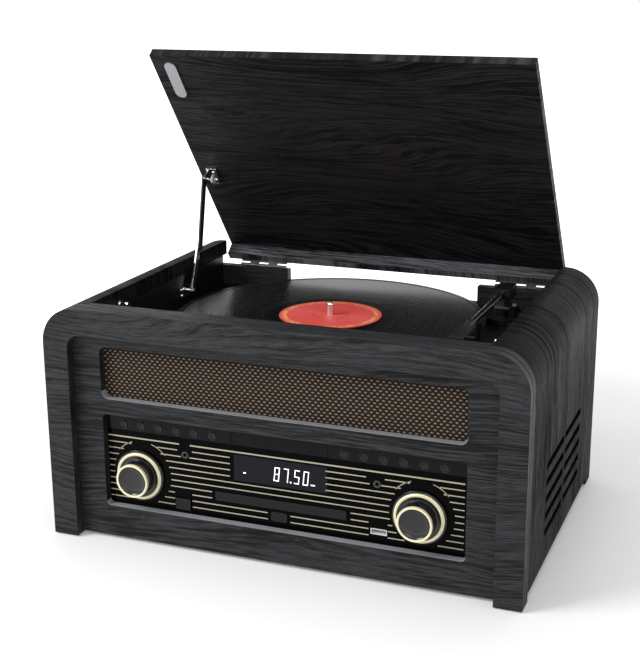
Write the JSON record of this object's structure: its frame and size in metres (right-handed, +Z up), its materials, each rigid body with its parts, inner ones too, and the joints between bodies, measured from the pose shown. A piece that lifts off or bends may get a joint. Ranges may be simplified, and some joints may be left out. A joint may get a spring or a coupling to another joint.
{
  "type": "music centre",
  "caption": "Table-top music centre in a round-shouldered wooden cabinet, with a record deck under a stayed lid, a disc tray, a tuner display, big knobs and a grille.",
  "frame": {"origin": "middle of the whole outline with the lid open, on the table", "axes": "+Z up, the front faces -Y, +X to the right as seen from the front"},
  "size_m": [0.45, 0.3374, 0.4415],
  "materials": {
    "black_veneer": "satin, dark grain",
    "dark_board": "matte",
    "rubber": "matte",
    "screw_steel": "satin",
    "black_plastic": "satin",
    "grille_cloth": "woven",
    "speaker_frame": "matte",
    "gloss_black": "glossy",
    "display_glass": "clear dark",
    "circuit_board": "matte",
    "socket_metal": "satin",
    "knob_plastic": "satin, pale rings",
    "button_plastic": "satin",
    "drive_metal": "satin",
    "pulley_brass": "satin",
    "platter_plastic": "matte",
    "felt": "felt",
    "vinyl": "glossy, grooved",
    "arm_aluminium": "satin",
    "weight_steel": "satin",
    "badge_metal": "satin",
    "hinge_steel": "satin",
    "stay_chrome": "polished",
    "stay_black": "satin"
  },
  "bodies": {
    "cabinet": {"front_frame": "black_veneer", "left_side": "black_veneer", "right_side": "black_veneer", "front_panel": "black_veneer", "back_panel": "dark_board", "bottom_board": "dark_board", "foot_pads": "rubber", "cabinet_screws": "screw_steel", "deck_moulding": "black_plastic", "speaker_baffle": "dark_board", "grille_cloth": "grille_cloth", "speakers": "speaker_frame", "fascia": "gloss_black", "button_strips": "gloss_black", "display_window": "display_glass", "control_board": "circuit_board", "front_sockets": "socket_metal", "disc_drive": "drive_metal", "main_board": "circuit_board", "rear_terminals": "black_plastic", "platter_motor": "drive_metal", "drive_belt": "rubber", "platter_spindle": "screw_steel", "tonearm_base": "black_plastic", "hinge_leaves": "hinge_steel", "lid_rest_studs": "screw_steel", "stay_wall_bracket": "stay_chrome"},
    "lid": {"lid_panel": "black_veneer", "lid_rear_strip": "black_veneer", "lid_badge": "badge_metal", "hinge_flaps": "hinge_steel", "stay_lid_bracket": "stay_chrome"},
    "lower_stay": {"stay_lower_arm": "stay_chrome"},
    "upper_stay": {"stay_upper_arm": "stay_black"},
    "turntable": {"platter": "platter_plastic", "slip_mat": "felt", "record": "vinyl"},
    "pulley": {"motor_pulley": "pulley_brass"},
    "arm_yoke": {"tonearm_gimbal": "black_plastic"},
    "arm": {"tonearm_tube": "arm_aluminium", "headshell": "black_plastic", "counterweight": "weight_steel"},
    "cue": {"cue_lever": "black_plastic"},
    "speed": {"speed_switch": "black_plastic"},
    "volume": {"volume_knob": "knob_plastic"},
    "tuning": {"tuning_knob": "knob_plastic"},
    "tray": {"disc_tray": "black_plastic"},
    "eject": {"eject_button": "button_plastic"},
    "left_button_1": {"left_button_1": "button_plastic"},
    "left_button_2": {"left_button_2": "button_plastic"},
    "left_button_3": {"left_button_3": "button_plastic"},
    "left_button_4": {"left_button_4": "button_plastic"},
    "left_button_5": {"left_button_5": "button_plastic"},
    "left_button_6": {"left_button_6": "button_plastic"},
    "right_button_1": {"right_button_1": "button_plastic"},
    "right_button_2": {"right_button_2": "button_plastic"},
    "right_button_3": {"right_button_3": "button_plastic"},
    "right_button_4": {"right_button_4": "button_plastic"},
    "right_button_5": {"right_button_5": "button_plastic"},
    "right_button_6": {"right_button_6": "button_plastic"}
  },
  "joints": [
    {"name": "lid_hinge", "type": "hinge", "parent": "cabinet", "child": "lid", "pos_m": [0, 0.14929, 0.1955], "axis": [1, 0, 0], "range_deg": [0, 51.5]},
    {"name": "stay_wall_pivot", "type": "hinge", "parent": "cabinet", "child": "lower_stay", "pos_m": [-0.181, 0.04729, 0.1905], "axis": [1, 0, 0], "range_deg": [-56, 0]},
    {"name": "stay_lid_pivot", "type": "hinge", "parent": "lid", "child": "upper_stay", "pos_m": [-0.181, 0.07838, 0.30393], "axis": [1, 0, 0], "range_deg": [0, 46]},
    {"name": "platter_turn", "type": "hinge", "parent": "cabinet", "child": "turntable", "pos_m": [-0.012, 0.00849, 0.1815], "axis": [0, 0, 1], "continuous": true},
    {"name": "pulley_turn", "type": "hinge", "parent": "cabinet", "child": "pulley", "pos_m": [-0.096, 0.06049, 0.174], "axis": [0, 0, 1], "continuous": true},
    {"name": "arm_swing", "type": "hinge", "parent": "cabinet", "child": "arm_yoke", "pos_m": [0.141, 0.08649, 0.1985], "axis": [0, 0, 1], "range_deg": [-45, 0]},
    {"name": "arm_lift", "type": "hinge", "parent": "arm_yoke", "child": "arm", "pos_m": [0.141, 0.08649, 0.2075], "axis": [1, 0, 0], "range_deg": [0, 2.7]},
    {"name": "cue_turn", "type": "hinge", "parent": "cabinet", "child": "cue", "pos_m": [0.155, 0.06849, 0.1955], "axis": [1, 0, 0], "range_deg": [0, 50]},
    {"name": "speed_slide", "type": "slide", "parent": "cabinet", "child": "speed", "axis": [1, 0, 0], "range_m": [-0.005, 0.005]},
    {"name": "volume_turn", "type": "hinge", "parent": "cabinet", "child": "volume", "pos_m": [-0.14, -0.15071, 0.0645], "axis": [0, 1, 0], "continuous": true},
    {"name": "tuning_turn", "type": "hinge", "parent": "cabinet", "child": "tuning", "pos_m": [0.13, -0.15071, 0.0645], "axis": [0, 1, 0], "continuous": true},
    {"name": "tray_slide", "type": "slide", "parent": "cabinet", "child": "tray", "axis": [0, -1, 0], "range_m": [0, 0.135]},
    {"name": "eject_press", "type": "slide", "parent": "cabinet", "child": "eject", "axis": [0, 1, 0], "range_m": [0, 0.001], "stiffness_N_per_m": 800, "springref_m": -0.0005},
    {"name": "left_button_1_press", "type": "slide", "parent": "cabinet", "child": "left_button_1", "axis": [0, 1, 0], "range_m": [0, 0.001], "stiffness_N_per_m": 800, "springref_m": -0.0005},
    {"name": "left_button_2_press", "type": "slide", "parent": "cabinet", "child": "left_button_2", "axis": [0, 1, 0], "range_m": [0, 0.001], "stiffness_N_per_m": 800, "springref_m": -0.0005},
    {"name": "left_button_3_press", "type": "slide", "parent": "cabinet", "child": "left_button_3", "axis": [0, 1, 0], "range_m": [0, 0.001], "stiffness_N_per_m": 800, "springref_m": -0.0005},
    {"name": "left_button_4_press", "type": "slide", "parent": "cabinet", "child": "left_button_4", "axis": [0, 1, 0], "range_m": [0, 0.001], "stiffness_N_per_m": 800, "springref_m": -0.0005},
    {"name": "left_button_5_press", "type": "slide", "parent": "cabinet", "child": "left_button_5", "axis": [0, 1, 0], "range_m": [0, 0.001], "stiffness_N_per_m": 800, "springref_m": -0.0005},
    {"name": "left_button_6_press", "type": "slide", "parent": "cabinet", "child": "left_button_6", "axis": [0, 1, 0], "range_m": [0, 0.001], "stiffness_N_per_m": 800, "springref_m": -0.0005},
    {"name": "right_button_1_press", "type": "slide", "parent": "cabinet", "child": "right_button_1", "axis": [0, 1, 0], "range_m": [0, 0.001], "stiffness_N_per_m": 800, "springref_m": -0.0005},
    {"name": "right_button_2_press", "type": "slide", "parent": "cabinet", "child": "right_button_2", "axis": [0, 1, 0], "range_m": [0, 0.001], "stiffness_N_per_m": 800, "springref_m": -0.0005},
    {"name": "right_button_3_press", "type": "slide", "parent": "cabinet", "child": "right_button_3", "axis": [0, 1, 0], "range_m": [0, 0.001], "stiffness_N_per_m": 800, "springref_m": -0.0005},
    {"name": "right_button_4_press", "type": "slide", "parent": "cabinet", "child": "right_button_4", "axis": [0, 1, 0], "range_m": [0, 0.001], "stiffness_N_per_m": 800, "springref_m": -0.0005},
    {"name": "right_button_5_press", "type": "slide", "parent": "cabinet", "child": "right_button_5", "axis": [0, 1, 0], "range_m": [0, 0.001], "stiffness_N_per_m": 800, "springref_m": -0.0005},
    {"name": "right_button_6_press", "type": "slide", "parent": "cabinet", "child": "right_button_6", "axis": [0, 1, 0], "range_m": [0, 0.001], "stiffness_N_per_m": 800, "springref_m": -0.0005}
  ],
  "couplings": [
    {"joint": "stay_wall_pivot", "follows": "lid_hinge", "ratio": -1.0744},
    {"joint": "stay_lid_pivot", "follows": "lid_hinge", "ratio": 0.87607},
    {"joint": "pulley_turn", "follows": "platter_turn", "ratio": 9.6667},
    {"joint": "cue_turn", "follows": "arm_lift", "ratio": 18.518}
  ]
}
